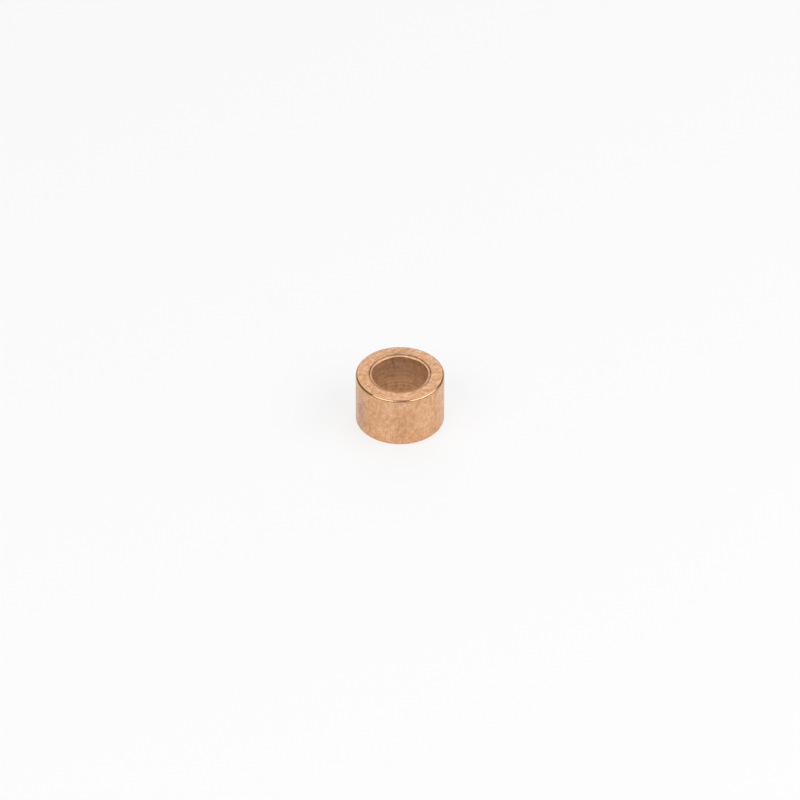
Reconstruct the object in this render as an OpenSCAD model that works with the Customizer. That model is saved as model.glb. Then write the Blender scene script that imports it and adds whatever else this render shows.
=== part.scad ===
/* [Sleeve] */
// Outside diameter, pressed into the housing
outer_d = 16; // [15:0.1:24]
// Bore diameter, running on the shaft
bore_d = 10.1; // [4:0.1:11]
// Length along the bore
length = 10.1; // [5:0.1:30]

/* [Outer edges] */
// Radial width of the lead-in chamfer round the outside, at each end
lead_in_w = 0.25; // [0.1:0.05:0.6]
// Axial height of the lead-in chamfer
lead_in_h = 0.25; // [0.1:0.05:0.8]

/* [Bore mouths] */
// Radial width of the short step down from the end face
step_w = 0.11; // [0.02:0.01:0.2]
// Depth of that step
step_h = 0.07; // [0.05:0.01:0.3]
// Radial width of the sizing land inside the step
land_w = 0.39; // [0.2:0.01:0.8]
// How far the land slopes down towards the bore
land_h = 0.10; // [0.02:0.01:0.2]
// Radial width of the small chamfer from the land into the bore
corner_w = 0.05; // [0.02:0.01:0.1]
// Axial depth of that chamfer
corner_h = 0.04; // [0.02:0.01:0.2]

/* [Hidden] */
$fn = 192;

outer_r = outer_d / 2;
bore_r = bore_d / 2;
land_r = bore_r + corner_w;
step_r = land_r + land_w;
// One end of the half section, from the outside to the bore: [radius, depth below the end face]
end_profile = [
    [outer_r, lead_in_h],
    [outer_r - lead_in_w, 0],
    [step_r + step_w, 0],
    [step_r, step_h],
    [land_r, step_h + land_h],
    [bore_r, step_h + land_h + corner_h]
];

// Half section of the wall: the same profile at both ends, radius along X and height along Y
module wall_section() {
    last = len(end_profile) - 1;
    upper = [for (point = end_profile) [point.x, length - point.y]];
    lower = [for (i = [last : -1 : 0]) end_profile[i]];
    polygon(concat(upper, lower));
}

// The bushing is one sintered ring, standing on its lower end face with the bore along +Z
module sleeve() {
    color([0.80, 0.58, 0.40])
        rotate_extrude() wall_section();
}

sleeve();
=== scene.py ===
import math

import bpy
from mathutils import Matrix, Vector


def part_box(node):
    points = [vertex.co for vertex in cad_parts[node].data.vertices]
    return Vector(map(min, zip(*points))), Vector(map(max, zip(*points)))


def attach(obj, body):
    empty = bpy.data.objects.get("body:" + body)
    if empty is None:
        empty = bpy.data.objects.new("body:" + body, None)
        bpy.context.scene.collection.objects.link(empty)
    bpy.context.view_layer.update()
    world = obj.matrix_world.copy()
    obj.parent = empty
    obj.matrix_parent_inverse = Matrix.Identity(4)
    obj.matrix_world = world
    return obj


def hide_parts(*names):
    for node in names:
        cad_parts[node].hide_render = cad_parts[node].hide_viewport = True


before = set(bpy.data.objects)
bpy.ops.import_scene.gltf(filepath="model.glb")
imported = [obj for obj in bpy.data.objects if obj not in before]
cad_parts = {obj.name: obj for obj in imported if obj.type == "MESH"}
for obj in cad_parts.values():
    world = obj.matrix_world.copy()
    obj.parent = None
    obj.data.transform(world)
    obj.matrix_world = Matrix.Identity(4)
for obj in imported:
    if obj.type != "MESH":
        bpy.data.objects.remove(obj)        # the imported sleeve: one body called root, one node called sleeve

mm = 0.001
scene = bpy.context.scene
scene.view_settings.view_transform = "Standard"
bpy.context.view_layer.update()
print("frame loaded")


# small helpers for node trees

def addNode(tree, kind, settings=None, values=None):
    made = tree.nodes.new(kind)
    for name, value in (settings or {}).items():
        setattr(made, name, value)
    for name, value in (values or {}).items():
        made.inputs[name].default_value = value
    return made


def feed(tree, socket, value):
    # a socket takes either another node's output or a plain value
    if isinstance(value, bpy.types.NodeSocket):
        tree.links.new(value, socket)
    else:
        socket.default_value = value


def mathNode(tree, operation, *terms, clamp=False):
    made = addNode(tree, "ShaderNodeMath", {"operation": operation, "use_clamp": clamp})
    for socket, value in zip(made.inputs, terms):
        feed(tree, socket, value)
    return made.outputs[0]


def rampNode(tree, value, low, high, atLow=0.0, atHigh=1.0):
    # a smooth step of value between low and high
    made = addNode(tree, "ShaderNodeMapRange", {"interpolation_type": "SMOOTHSTEP"})
    for name, term in (("Value", value), ("From Min", low), ("From Max", high),
                       ("To Min", atLow), ("To Max", atHigh)):
        feed(tree, made.inputs[name], term)
    return made.outputs["Result"]


def swingNode(tree, noise, by):
    # noise seldom leaves 0.3 to 0.7, and over that span this swings from -by to by
    return rampNode(tree, noise, 0.3, 0.7, -by, by)


def noiseNode(tree, place, size, detail, roughness, along=1.0, around=1.0):
    # noise of one grain size, drawn out along the sleeve or around it
    squeezed = addNode(tree, "ShaderNodeVectorMath", {"operation": "MULTIPLY"})
    tree.links.new(place, squeezed.inputs[0])
    squeezed.inputs[1].default_value = (1 / around, 1 / around, 1 / along)
    made = addNode(tree, "ShaderNodeTexNoise", None,
                   {"Scale": 1 / size, "Detail": detail, "Roughness": roughness})
    tree.links.new(squeezed.outputs[0], made.inputs["Vector"])
    return made.outputs[0]


def cellNode(tree, place, size):
    # how far a point is from its cell's middle, and a random number for the cell
    made = addNode(tree, "ShaderNodeTexVoronoi", None, {"Scale": 1 / size})
    tree.links.new(place, made.inputs["Vector"])
    chance = addNode(tree, "ShaderNodeSeparateColor")
    tree.links.new(made.outputs["Color"], chance.inputs[0])
    return made.outputs["Distance"], chance.outputs[0]


def mixNode(tree, share, first, second, blend="MIX"):
    made = addNode(tree, "ShaderNodeMix", {"data_type": "RGBA", "blend_type": blend})
    feed(tree, made.inputs["Factor"], share)
    feed(tree, made.inputs[6], first)
    feed(tree, made.inputs[7], second)
    return made.outputs[2]


def mixValue(tree, share, first, second):
    made = addNode(tree, "ShaderNodeMix", {"data_type": "FLOAT"})
    feed(tree, made.inputs["Factor"], share)
    feed(tree, made.inputs[2], first)
    feed(tree, made.inputs[3], second)
    return made.outputs[0]


# the sleeve's wall: the frame's edge circles are the corners of one closed outline

sleeveShape = {
    "turns": 384,            # flats round the circle, too fine to see
    "wallStep": 0.13 * mm,   # point spacing along the straight stretches
    "outerRim": 0.36 * mm,   # how far tumbling has rounded the outer edges
    "mouthRim": 0.03 * mm,   # and those at the mouths of the bore
    "rimPoints": 5,          # points on each rounded corner
    "arcShare": 0.45,        # a corner takes no more than this of the stretch beside it
    "narrow": 0.6 * mm,      # bands narrower than this take the rims' darker tone and polish too
    "narrowRimShade": 0.5,       # by this much, where a rim's is 1: painted shade that dims these narrow bands, such as the lands at the bore's mouths
    "stepReach": 0.25 * mm,  # a stretch this short beside a hollow corner is the step, where painted shade sits
    "edgeStepShade": 0.5,        # how much of that painted shade is left on the step's outer corners
    "hair": 0.01 * mm,       # two radii or heights nearer than this are the same
    "grainSize": 0.6 * mm,
    "grainHeight": 0.006 * mm,
    "pitSize": 0.7 * mm,
    "pitDepth": 0.012 * mm,
    "pitShare": 0.08,
    "nickSize": 0.8 * mm,
    "nickDepth": 0.045 * mm,
    "nickShare": 0.22,
    "seed": 7,
}


def wallCorners():
    # every CAD vertex lies on an edge circle, so distinct (radius, height) pairs are the corners
    hair = sleeveShape["hair"]
    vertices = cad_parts["sleeve"].data.vertices
    found = {(round(math.hypot(v.co.x, v.co.y) / hair), round(v.co.z / hair)) for v in vertices}
    corners = [Vector(pair) * hair for pair in found]
    middle = sum(corners, Vector((0, 0))) / len(corners)
    corners.sort(key=lambda c: -math.atan2(c.y - middle.y, c.x - middle.x))
    return corners, middle


def roundedCorner(before, here, after, radius):
    # an arc in place of a corner, or a smaller one where the stretch beside it is short
    count, share = sleeveShape["rimPoints"], sleeveShape["arcShare"]
    toBefore, toAfter = before - here, after - here
    half = toBefore.angle(toAfter) / 2
    reach = min(radius / math.tan(half), share * toBefore.length, share * toAfter.length)
    start, end = toBefore.normalized() * reach, toAfter.normalized() * reach
    centre = (start + end).normalized() * (reach / math.cos(half))
    first, last = start - centre, end - centre
    turn = math.atan2(first.x * last.y - first.y * last.x, first.dot(last))
    arc = []
    for k in range(count):
        c, n = math.cos(turn * k / (count - 1)), math.sin(turn * k / (count - 1))
        arc.append(here + centre + Vector((first.x * c - first.y * n, first.x * n + first.y * c)))
    return arc


def wallOutline():
    # each corner becomes an arc, and each straight stretch is cut into equal steps
    shape = sleeveShape
    corners, middle = wallCorners()
    many = len(corners)

    def isHollow(i):
        before, here, after = corners[i - 1], corners[i % many], corners[(i + 1) % many]
        return (here - before).cross(after - here) > 0

    def inStep(i):
        def isNear(j):
            return (corners[j % many] - corners[i % many]).length < shape["stepReach"]

        return isHollow(i) or any(isHollow(j) for j in (i - 1, i + 1) if isNear(j))

    arcs = []
    for i, corner in enumerate(corners):
        radius = shape["outerRim"] if corner.x > middle.x else shape["mouthRim"]
        arcs.append(roundedCorner(corners[i - 1], corner, corners[(i + 1) % many], radius))
    points, rim, stepShade = [], [], []
    for i, arc in enumerate(arcs):
        points += arc
        rim += [0.0 if inStep(i) else 1.0] * len(arc)
        stepShade += [1.0 if isHollow(i) else shape["edgeStepShade"] if inStep(i) else 0.0] * len(arc)
        target = arcs[(i + 1) % many][0]
        gap = (target - arc[-1]).length
        count = max(1, round(gap / shape["wallStep"]))
        isStep = gap < shape["stepReach"] and inStep(i) and inStep(i + 1)
        for k in range(1, count):
            points.append(arc[-1].lerp(target, k / count))
            rim.append(shape["narrowRimShade"] if gap < shape["narrow"] and not isStep else 0.0)
            stepShade.append(1.0 if isStep else 0.0)
    return points, rim, stepShade, middle


def outlineMesh():
    points, rim, stepShade, middle = wallOutline()
    radii, heights = [p.x for p in points], [p.y for p in points]
    bore, foot, top = min(radii), min(heights), max(heights)
    hair = sleeveShape["hair"]
    mesh = bpy.data.meshes.new("sleeveOutline")
    # a sweep lays the outline's Y downwards, so heights go in negative
    mesh.from_pydata([(p.x - middle.x, -p.y, 0) for p in points],
                     [(i, (i + 1) % len(points)) for i in range(len(points))], [])
    masks = {
        "nearRim": rim,
        "inStep": stepShade,
        "inBore": [1.0 if r < bore + hair else 0.0 for r in radii],
        "onFace": [1.0 if min(z - foot, top - z) < hair else 0.0 for z in heights],
    }
    for name, values in masks.items():
        mesh.attributes.new(name, "FLOAT", "POINT").data.foreach_set("value", values)
    return mesh, middle.x


def turnedSleeveTree():
    tree = bpy.data.node_groups.new("turnedSleeve", "GeometryNodeTree")
    tree.interface.new_socket("Outline", in_out="INPUT", socket_type="NodeSocketGeometry")
    for name, kind in (("Middle Radius", "Float"), ("Turns", "Int"), ("Grain Size", "Float"),
                       ("Grain Height", "Float"), ("Pit Size", "Float"), ("Pit Depth", "Float"),
                       ("Pit Share", "Float"), ("Nick Size", "Float"), ("Nick Depth", "Float"),
                       ("Nick Share", "Float"), ("Seed", "Int"), ("Finish", "Material")):
        tree.interface.new_socket(name, in_out="INPUT", socket_type="NodeSocket" + kind)
    tree.interface.new_socket("Sleeve", in_out="OUTPUT", socket_type="NodeSocketGeometry")
    given = addNode(tree, "NodeGroupInput").outputs
    link = tree.links.new

    outline = addNode(tree, "GeometryNodeMeshToCurve")
    circle = addNode(tree, "GeometryNodeCurvePrimitiveCircle")
    sweep = addNode(tree, "GeometryNodeCurveToMesh")
    link(given["Outline"], outline.inputs["Mesh"])
    link(given["Turns"], circle.inputs["Resolution"])
    link(given["Middle Radius"], circle.inputs["Radius"])
    link(circle.outputs["Curve"], sweep.inputs["Curve"])
    link(outline.outputs["Curve"], sweep.inputs["Profile Curve"])

    place = addNode(tree, "GeometryNodeInputPosition").outputs[0]
    normal = addNode(tree, "GeometryNodeInputNormal").outputs[0]
    rim = addNode(tree, "GeometryNodeInputNamedAttribute", {"data_type": "FLOAT"},
                  {"Name": "nearRim"}).outputs["Attribute"]

    def dents(size, share, edge, floor, shift):
        # in that share of the cells, 0 at a dent's edge and 1 on its floor, both measured in cells
        made = addNode(tree, "ShaderNodeTexVoronoi", {"voronoi_dimensions": "4D"})
        feed(tree, made.inputs["Vector"], place)
        feed(tree, made.inputs["Scale"], mathNode(tree, "DIVIDE", 1.0, size))
        feed(tree, made.inputs["W"], mathNode(tree, "ADD", given["Seed"], shift))
        chance = addNode(tree, "FunctionNodeSeparateColor")
        link(made.outputs["Color"], chance.inputs[0])
        here = mathNode(tree, "LESS_THAN", chance.outputs[0], share)
        return mathNode(tree, "MULTIPLY", rampNode(tree, made.outputs["Distance"], edge, floor), here)

    # a soft swell over the whole skin, always inwards
    grain = addNode(tree, "ShaderNodeTexNoise", {"noise_dimensions": "4D"}, {"Detail": 2.0})
    feed(tree, grain.inputs["Vector"], place)
    feed(tree, grain.inputs["Scale"], mathNode(tree, "DIVIDE", 1.0, given["Grain Size"]))
    feed(tree, grain.inputs["W"], given["Seed"])
    swell = mathNode(tree, "MULTIPLY", grain.outputs[0], given["Grain Height"])

    # scattered pits, and handling nicks that are only along the rims
    pit = dents(given["Pit Size"], given["Pit Share"], edge=0.32, floor=0.05, shift=3.1)
    pit = mathNode(tree, "MULTIPLY", pit, given["Pit Depth"])
    nick = dents(given["Nick Size"], given["Nick Share"], edge=0.45, floor=0.1, shift=9.7)
    nick = mathNode(tree, "MULTIPLY", mathNode(tree, "MULTIPLY", nick, rim), given["Nick Depth"])

    depth = mathNode(tree, "ADD", mathNode(tree, "ADD", swell, pit), nick)
    inward = addNode(tree, "ShaderNodeVectorMath", {"operation": "SCALE"})
    feed(tree, inward.inputs["Vector"], normal)
    feed(tree, inward.inputs["Scale"], mathNode(tree, "MULTIPLY", depth, -1.0))

    shaped = addNode(tree, "GeometryNodeSetPosition")
    smooth = addNode(tree, "GeometryNodeSetShadeSmooth")
    real = addNode(tree, "GeometryNodeRealizeInstances")
    finish = addNode(tree, "GeometryNodeSetMaterial")
    result = addNode(tree, "NodeGroupOutput")
    link(sweep.outputs["Mesh"], shaped.inputs["Geometry"])
    link(inward.outputs["Vector"], shaped.inputs["Offset"])
    link(shaped.outputs["Geometry"], smooth.inputs["Geometry"])
    link(smooth.outputs["Geometry"], real.inputs["Geometry"])
    link(real.outputs["Geometry"], finish.inputs["Geometry"])
    link(given["Finish"], finish.inputs["Material"])
    link(finish.outputs["Geometry"], result.inputs[0])
    return tree


def setInputs(modifier, values):
    for item in modifier.node_group.interface.items_tree:
        if item.in_out == "INPUT" and item.name in values:
            modifier[item.identifier] = values[item.name]


def asPlainMesh(piece):
    graph = bpy.context.evaluated_depsgraph_get()
    mesh = bpy.data.meshes.new_from_object(piece.evaluated_get(graph), preserve_all_data_layers=True,
                                           depsgraph=graph)
    piece.modifiers.clear()
    piece.data = mesh
    return piece


def turnedSleeve(finish):
    shape = sleeveShape
    outline, middle = outlineMesh()
    piece = bpy.data.objects.new("bronzeSleeve", outline)
    scene.collection.objects.link(piece)
    turning = piece.modifiers.new("turning", "NODES")
    turning.node_group = turnedSleeveTree()
    setInputs(turning, {
        "Middle Radius": middle, "Turns": shape["turns"],
        "Grain Size": shape["grainSize"], "Grain Height": shape["grainHeight"],
        "Pit Size": shape["pitSize"], "Pit Depth": shape["pitDepth"], "Pit Share": shape["pitShare"],
        "Nick Size": shape["nickSize"], "Nick Depth": shape["nickDepth"], "Nick Share": shape["nickShare"],
        "Seed": shape["seed"], "Finish": finish,
    })
    return asPlainMesh(piece)


# the bronze: pressed powder, burnished on the walls by the sizing tools, soaked with oil

bronzeFinish = {
    "golden": (0.817, 0.472, 0.263, 1),
    "rosy": (0.808, 0.463, 0.27, 1),
    "oily": (0.56, 0.325, 0.19, 1),
    "boreTone": (0.73, 0.495, 0.305, 1),
    # the rims' darker tone is painted shade for the dark reflections along the edges, with some oil-darkening
    # of the chamfers
    "rimToneAndShade": (0.55, 0.32, 0.18, 1),
    # painted shade: the dark line in the step round each mouth of the bore
    "stepShade": (0.17, 0.075, 0.04, 1),
    "pore": (0.17, 0.085, 0.05, 1),
    "oilShare": 0.28,        # how much of the colour each of these takes where it is strongest
    "stepShadeShare": 0.84,
    "poreShare": 0.85,
    "rimShadeShare": (0.95, 0.5),  # and a rim's darker tone, painted shade, on its dark grains and on its pale ones
    "markLeft": 0.6,         # how much of a mark is left where it is faintest
    # each of these fades in between two values of its noise
    "fades": {"golden": (0.4, 0.6), "oily": (0.5, 0.75), "paintedLightAndMarks": (0.35, 0.6), "rims": (0.35, 0.6),
              "lines": (0.35, 0.65), "pores": (0.3, 0.65)},
    "faceTint": (0.93, 0.965, 0.99, 1),
    "deepTint": (0.73, 0.66, 0.58, 1),
    "paleTint": (1.27, 1.35, 1.45, 1),
    "fullTint": 0.3,         # the swings below add up to this where a tint is full
    # how far each pattern swings the shade to either side of the middle
    "swings": {"wallMottle": 0.095, "boreMottle": 0.085, "faceMottle": 0.135, "grain": 0.1,
               "patch": -0.04, "particle": 0.07, "drag": 0.055, "rings": 0.11},
    # clouds of noise, their sizes in millimetres; drag lines run along the sleeve and rings round the bore
    "clouds": {
        "patch": {"size": 3.6, "detail": 2, "roughness": 0.5},
        "stain": {"size": 1.7, "detail": 4, "roughness": 0.65},
        "mottle": {"size": 0.75, "detail": 3, "roughness": 0.5, "along": 1.5},
        "grain": {"size": 0.3, "detail": 3, "roughness": 0.6},
        "drag": {"size": 0.07, "detail": 2, "roughness": 0.5, "along": 26.0},
        "rings": {"size": 0.4, "detail": 3, "roughness": 0.6, "around": 12.0},
    },
    "powderSize": 0.1,       # the pressed powder's particles
    "roughness": {"wall": 0.32, "face": 0.42, "bore": 0.62, "rim": 0.2, "pore": 0.75},
    "roughSwings": {"mottle": -0.06, "particle": 0.07, "drag": -0.06},
    "rimPolish": 0.8,        # how much of the rim's own roughness shows on it
    "relief": {"grain": 0.5, "powder": -0.3, "drag": 0.2, "rings": 0.3, "pore": -1.0},
    "reliefHeight": 0.007,   # in millimetres
    "reliefStrength": 0.6,
    "poresByPlace": (0.7, 1.1),  # on the walls and on the end faces, against the shares below
    "poresByGrain": (0.3, 1.3),  # and on the dark grains and on the pale ones
    "poreFloor": 0.4,        # against the pore's radius
    # open pores, in two sizes: cell width, the share of cells that have one, and its radius in cells
    "pores": [
        {"size": 0.09, "share": 0.5, "radius": 0.34},
        {"size": 0.26, "share": 0.3, "radius": 0.26},
    ],
    # soft marks in known places, most of them painted light and shade on the wall and in the bore, in
    # millimetres: how far each one reaches, and its share at its middle
    "paintedLightAndMarks": [
        # painted reflection and shade: the wall's left darker and mauve, where it turns away from the camera
        {"at": (-7.0, -4.2, 4.8), "reach": (1.7, 2.3, 5.4), "tone": (0.56, 0.345, 0.27, 1), "share": 0.75},
        # more golden low on the wall's front left
        {"at": (-3.6, -7.1, 1.0), "reach": (2.4, 2.0, 1.5), "tone": (0.86, 0.47, 0.17, 1), "share": 0.45},
        # painted light: the wall's front paler and warmer towards the bottom, as if lit from the table
        {"at": (-0.5, -8.0, 1.2), "reach": (9.0, 6.0, 5.5), "tone": (0.89, 0.52, 0.295, 1), "share": 0.55},
        # painted light: the wall paler and cooler on its front right, towards the right lamp
        {"at": (4.9, -6.3, 5.6), "reach": (2.6, 2.6, 6.0), "tone": (0.90, 0.54, 0.32, 1), "share": 0.6},
        # darker down the middle of the wall's front
        {"at": (-0.2, -8.0, 5.2), "reach": (1.9, 2.0, 6.0), "tone": (0.70, 0.40, 0.225, 1), "share": 0.45},
        # a dark streak slanting down the bore's far wall, near the top
        {"at": (-1.36, 4.86, 9.0), "reach": (0.26, 1.0, 0.8), "tone": (0.16, 0.08, 0.05, 1), "share": 0.6},
        {"at": (-1.18, 4.91, 8.25), "reach": (0.27, 1.0, 1.0), "tone": (0.16, 0.08, 0.05, 1), "share": 0.75},
        {"at": (-0.95, 4.96, 7.3), "reach": (0.25, 1.0, 1.2), "tone": (0.20, 0.11, 0.07, 1), "share": 0.45},
        # painted shade: the bore's far wall darker towards the top
        {"at": (0.5, 5.0, 9.6), "reach": (4.8, 3.0, 7.5), "tone": (0.54, 0.35, 0.235, 1), "share": 0.6},
        # painted light: the bore paler and more golden towards the bottom
        {"at": (0.3, 5.0, 2.2), "reach": (6.0, 4.0, 4.6), "tone": (0.86, 0.52, 0.245, 1), "share": 0.5},
    ],
}


def markNode(tree, place, mark):
    # an ellipsoid round the mark's middle, fading to nothing at its reach
    away = addNode(tree, "ShaderNodeVectorMath", {"operation": "SUBTRACT"})
    tree.links.new(place, away.inputs[0])
    away.inputs[1].default_value = mark["at"]
    scaled = addNode(tree, "ShaderNodeVectorMath", {"operation": "DIVIDE"})
    tree.links.new(away.outputs[0], scaled.inputs[0])
    scaled.inputs[1].default_value = mark["reach"]
    far = addNode(tree, "ShaderNodeVectorMath", {"operation": "LENGTH"})
    tree.links.new(scaled.outputs[0], far.inputs[0])
    return rampNode(tree, far.outputs["Value"], 1.0, 0.2, 0.0, mark["share"])


def metalPatterns(tree):
    # every pattern that the bronze is mixed from, by name
    look = bronzeFinish
    inMillimetres = addNode(tree, "ShaderNodeVectorMath", {"operation": "SCALE"}, {"Scale": 1 / mm})
    tree.links.new(addNode(tree, "ShaderNodeTexCoord").outputs["Object"], inMillimetres.inputs["Vector"])
    place = inMillimetres.outputs["Vector"]
    pattern = {name: noiseNode(tree, place, **cloud) for name, cloud in look["clouds"].items()}
    pattern["place"] = place
    pattern["powder"], pattern["particle"] = cellNode(tree, place, look["powderSize"])
    for name, mask in (("rim", "nearRim"), ("bore", "inBore"), ("face", "onFace"), ("step", "inStep")):
        pattern[name] = addNode(tree, "ShaderNodeAttribute", {"attribute_name": mask}).outputs["Fac"]
    notFace = mathNode(tree, "SUBTRACT", 1.0, pattern["face"], clamp=True)
    outside = mathNode(tree, "SUBTRACT", notFace, pattern["bore"], clamp=True)
    for name, where in (("drag", outside), ("rings", pattern["bore"])):
        lines = rampNode(tree, pattern[name], *look["fades"]["lines"])
        pattern[name] = mathNode(tree, "MULTIPLY", lines, where)
    pattern["pore"] = openPores(tree, pattern)
    return pattern


def openPores(tree, pattern):
    # ragged pores, more of them open on the end faces than on the walls, and burnished shut on the rims
    look = bronzeFinish
    size = look["powderSize"]
    ragged = addNode(tree, "ShaderNodeTexNoise", None, {"Scale": 1 / size, "Detail": 2.0})
    tree.links.new(pattern["place"], ragged.inputs["Vector"])
    bent = addNode(tree, "ShaderNodeVectorMath", {"operation": "MULTIPLY_ADD"})
    tree.links.new(ragged.outputs["Color"], bent.inputs[0])
    bent.inputs[1].default_value = (size, size, size)
    tree.links.new(pattern["place"], bent.inputs[2])
    byPlace = rampNode(tree, pattern["face"], 0.0, 1.0, *look["poresByPlace"])
    byGrain = rampNode(tree, pattern["grain"], *look["fades"]["pores"], *look["poresByGrain"])
    crowd = mathNode(tree, "MULTIPLY", byPlace, byGrain)
    pore = 0.0
    for kind in look["pores"]:
        far, chance = cellNode(tree, bent.outputs[0], kind["size"])
        here = mathNode(tree, "LESS_THAN", chance, mathNode(tree, "MULTIPLY", crowd, kind["share"]))
        hole = rampNode(tree, far, kind["radius"], look["poreFloor"] * kind["radius"])
        pore = mathNode(tree, "MAXIMUM", pore, mathNode(tree, "MULTIPLY", hole, here))
    return mathNode(tree, "MULTIPLY", pore, mathNode(tree, "SUBTRACT", 1.0, pattern["rim"], clamp=True))


def metalShade(tree, pattern):
    # from 0 where the metal is deepest to 1 where it is palest
    swings = bronzeFinish["swings"]
    mottling = mixValue(tree, pattern["bore"], swings["wallMottle"], swings["boreMottle"])
    mottling = mixValue(tree, pattern["face"], mottling, swings["faceMottle"])
    shade = mathNode(tree, "MULTIPLY", swingNode(tree, pattern["mottle"], 1.0), mottling)
    particle = rampNode(tree, pattern["particle"], 0.0, 1.0, -swings["particle"], swings["particle"])
    shade = mathNode(tree, "ADD", shade, particle)
    for name in ("grain", "patch"):
        shade = mathNode(tree, "ADD", shade, swingNode(tree, pattern[name], swings[name]))
    for name in ("drag", "rings"):
        lines = mathNode(tree, "MULTIPLY_ADD", pattern[name], 2 * swings[name], -swings[name])
        shade = mathNode(tree, "ADD", shade, lines)
    return mathNode(tree, "MULTIPLY_ADD", shade, 0.5 / bronzeFinish["fullTint"], 0.5)


def bronzeColour(tree, pattern):
    look, fades = bronzeFinish, bronzeFinish["fades"]

    def over(colour, tone, where, share):
        # a tone laid over the colour there, taking that share of it
        return mixNode(tree, mathNode(tree, "MULTIPLY", where, share), colour, look[tone])

    colour = mixNode(tree, rampNode(tree, pattern["patch"], *fades["golden"]), look["rosy"], look["golden"])
    colour = over(colour, "oily", rampNode(tree, pattern["stain"], *fades["oily"]), look["oilShare"])
    colour = mixNode(tree, pattern["bore"], colour, look["boreTone"])
    blotchy = rampNode(tree, pattern["stain"], *fades["paintedLightAndMarks"], look["markLeft"], 1.0)
    # the marks, most of them painted light and shade
    for mark in look["paintedLightAndMarks"]:
        strength = mathNode(tree, "MULTIPLY", markNode(tree, pattern["place"], mark), blotchy)
        colour = mixNode(tree, strength, colour, mark["tone"])
    onFace = mixNode(tree, 1.0, colour, look["faceTint"], "MULTIPLY")
    colour = mixNode(tree, pattern["face"], colour, onFace)
    # deeper spots are richer in colour too, and paler ones greyer
    tint = mixNode(tree, metalShade(tree, pattern), look["deepTint"], look["paleTint"])
    colour = mixNode(tree, 1.0, colour, tint, "MULTIPLY")
    # painted shade: the rims darkened for the dark reflections along the edges, with some oil-darkening of the
    # chamfers
    rimShade = rampNode(tree, pattern["grain"], *fades["rims"], *look["rimShadeShare"])
    colour = over(colour, "rimToneAndShade", pattern["rim"], rimShade)
    # painted shade: a dark line in the step round each mouth of the bore
    colour = over(colour, "stepShade", pattern["step"], look["stepShadeShare"])
    return over(colour, "pore", pattern["pore"], look["poreShare"])


def bronzeRoughness(tree, pattern):
    own, swings = bronzeFinish["roughness"], bronzeFinish["roughSwings"]
    rough = mixValue(tree, pattern["face"], own["wall"], own["face"])
    rough = mixValue(tree, pattern["bore"], rough, own["bore"])
    rough = mathNode(tree, "ADD", rough, swingNode(tree, pattern["mottle"], swings["mottle"]))
    particle = rampNode(tree, pattern["particle"], 0.0, 1.0, -swings["particle"], swings["particle"])
    rough = mathNode(tree, "ADD", rough, particle)
    rough = mathNode(tree, "MULTIPLY_ADD", pattern["drag"], swings["drag"], rough)
    polish = mathNode(tree, "MULTIPLY", pattern["rim"], bronzeFinish["rimPolish"])
    rough = mixValue(tree, polish, rough, own["rim"])
    return mixValue(tree, pattern["pore"], rough, own["pore"])


def sinteredBronze():
    look = bronzeFinish
    material = bpy.data.materials.new("sinteredBronze")
    material.use_nodes = True
    tree = material.node_tree
    shader = tree.nodes["Principled BSDF"]
    shader.inputs["Metallic"].default_value = 1.0
    pattern = metalPatterns(tree)
    tree.links.new(bronzeColour(tree, pattern), shader.inputs["Base Color"])
    tree.links.new(bronzeRoughness(tree, pattern), shader.inputs["Roughness"])
    relief = 0.0
    for name, weight in look["relief"].items():
        relief = mathNode(tree, "MULTIPLY_ADD", pattern[name], weight, relief)
    bump = addNode(tree, "ShaderNodeBump", None,
                   {"Strength": look["reliefStrength"], "Distance": look["reliefHeight"] * mm})
    tree.links.new(relief, bump.inputs["Height"])
    tree.links.new(bump.outputs["Normal"], shader.inputs["Normal"])
    print("bronze mixed:", len(tree.nodes), "nodes")
    return material


sleeve = turnedSleeve(sinteredBronze())
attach(sleeve, "root")
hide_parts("sleeve")
print("sleeve turned:", len(sleeve.data.polygons), "faces")


# the table, the soft lights and the camera

stageLook = {
    "floorSize": 6.0,
    # the camera sees a table that glows, so its shadows are faint; the metal sees a whiter, duller one
    "floorSeen": {"white": 0.22, "glow": 0.735},
    "floorInMetal": {"white": 0.52, "glow": 0.44},
    "tent": {                # how bright the walls of the light tent look, seen in the metal
        "dim": 0.19,
        "above": 0.43,
        "behind": 0.85,      # towards the horizon behind the sleeve
        "seen": 0.955,       # and to the camera
        "lowSpan": (0.42, 0.08),     # the part behind fades in between these heights, 1 being overhead
        "behindSpan": (0.35, 0.85),  # and between these, 1 being straight behind
        "aboveSpan": (0.55, 0.9),    # the part above fades in between these heights
    },
    # azimuth 0 is in front of the sleeve, on the camera's side, and positive is to its right
    "lights": {
        "leftBox": {"azimuth": -44, "elevation": 44, "far": 0.6, "wide": 0.48, "high": 0.32, "glow": 3.0},
        "rightBox": {"azimuth": 67, "elevation": 42, "far": 0.6, "wide": 0.76, "high": 0.32, "glow": 2.95},
        "backPanel": {"azimuth": 180, "elevation": 49, "far": 0.8, "wide": 0.56, "high": 0.86, "glow": 1.18},
    },
}


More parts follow.
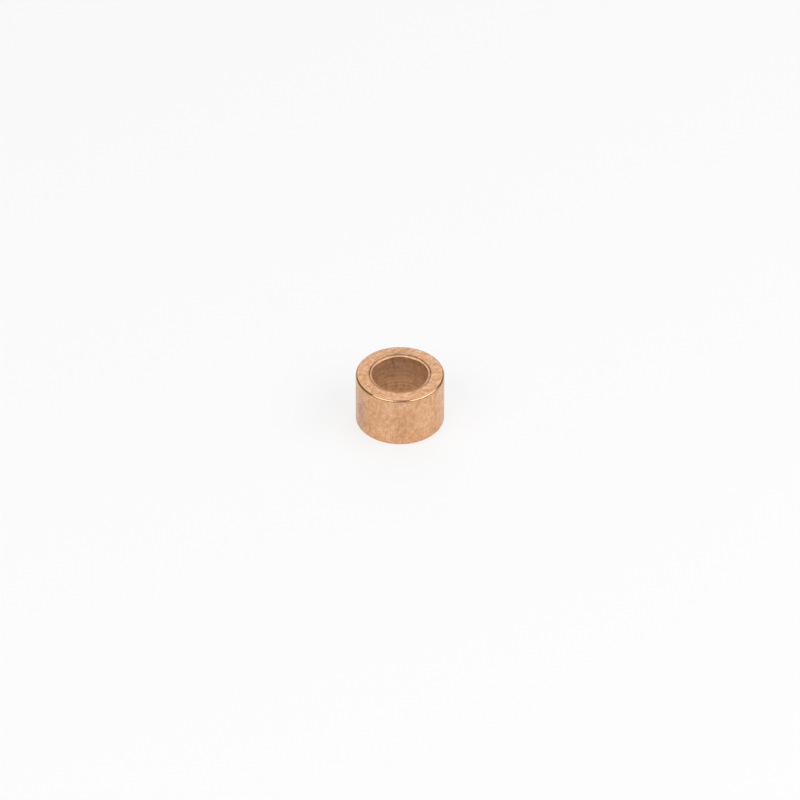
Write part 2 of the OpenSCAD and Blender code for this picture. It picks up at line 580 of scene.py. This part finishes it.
def paleTable():
    look = stageLook
    side = look["floorSize"] / 2
    mesh = bpy.data.meshes.new("table")
    corners = [(-side, -side, 0), (side, -side, 0), (side, side, 0), (-side, side, 0)]
    mesh.from_pydata(corners, [], [range(4)])
    table = bpy.data.objects.new("table", mesh)
    scene.collection.objects.link(table)
    material = bpy.data.materials.new("paleTable")
    material.use_nodes = True
    tree = material.node_tree
    shader = tree.nodes["Principled BSDF"]
    shader.inputs["Roughness"].default_value = 1.0
    shader.inputs["Specular IOR Level"].default_value = 0.0
    shader.inputs["Emission Color"].default_value = (1, 1, 1, 1)
    seen = addNode(tree, "ShaderNodeLightPath").outputs["Is Camera Ray"]
    metal, direct = look["floorInMetal"], look["floorSeen"]
    tree.links.new(mixValue(tree, seen, metal["white"], direct["white"]), shader.inputs["Base Color"])
    tree.links.new(mixValue(tree, seen, metal["glow"], direct["glow"]), shader.inputs["Emission Strength"])
    mesh.materials.append(material)


def direction(azimuth, elevation):
    a, e = math.radians(azimuth), math.radians(elevation)
    return Vector((math.sin(a) * math.cos(e), -math.cos(a) * math.cos(e), math.sin(e)))


def softLight(name, azimuth, elevation, far, wide, high, glow):
    light = bpy.data.lights.new(name, "AREA")
    light.shape = "RECTANGLE"
    light.size, light.size_y = wide, high
    light.energy = glow * math.pi * wide * high  # so that glow is how bright the panel looks
    lamp = bpy.data.objects.new(name, light)
    scene.collection.objects.link(lamp)
    way = direction(azimuth, elevation)
    lamp.location = way * far
    lamp.rotation_mode = "QUATERNION"
    lamp.rotation_quaternion = (-way).to_track_quat("-Z", "Y")
    lamp.visible_camera = False


def lightTent():
    # a dim tent whose wall is pale low down behind the sleeve; the camera sees it evenly pale
    tent = stageLook["tent"]
    world = bpy.data.worlds.new("lightTent")
    scene.world = world
    world.use_nodes = True
    tree = world.node_tree
    shown = tree.nodes["Background"]
    shown.inputs["Color"].default_value = (1, 1, 1, 1)
    way = addNode(tree, "ShaderNodeSeparateXYZ")
    tree.links.new(addNode(tree, "ShaderNodeTexCoord").outputs["Generated"], way.inputs[0])
    low = rampNode(tree, way.outputs["Z"], *tent["lowSpan"])
    behind = rampNode(tree, way.outputs["Y"], *tent["behindSpan"])
    wall = mathNode(tree, "MULTIPLY_ADD", mathNode(tree, "MULTIPLY", low, behind),
                    tent["behind"] - tent["dim"], tent["dim"])
    pale = mixValue(tree, rampNode(tree, way.outputs["Z"], *tent["aboveSpan"]), wall, tent["above"])
    seen = addNode(tree, "ShaderNodeLightPath").outputs["Is Camera Ray"]
    tree.links.new(mixValue(tree, seen, pale, tent["seen"]), shown.inputs["Strength"])


cameraView = {
    "elevation": 38.6,
    "lens": 328.0,             # a long lens: the sleeve's ends are seen at almost the same size
    "sensor": 36.0,            # millimetres, as the lens is
    "across": 144.3 * mm,      # what the view's width takes in at the sleeve
    "aimBelow": 0.82 * mm,     # the sleeve sits a little above the view's middle
    "clip": (0.05, 20),        # metres
}


def placeCamera():
    look = cameraView
    data = bpy.data.cameras.new("camera")
    data.lens = look["lens"]
    data.sensor_width = look["sensor"]
    camera = bpy.data.objects.new("camera", data)
    scene.collection.objects.link(camera)
    way = direction(0, look["elevation"])
    turn = (-way).to_track_quat("-Z", "Y")
    low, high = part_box("sleeve")
    centre = (low + high) / 2
    aim = centre - turn @ Vector((0, look["aimBelow"], 0))
    far = look["lens"] * look["across"] / look["sensor"]
    camera.location = aim + way * far
    camera.rotation_mode = "QUATERNION"
    camera.rotation_quaternion = turn
    data.clip_start, data.clip_end = look["clip"]
    scene.camera = camera


paleTable()
for lightName, settings in stageLook["lights"].items():
    softLight(lightName, **settings)
lightTent()
placeCamera()
print("table, lights and camera placed")
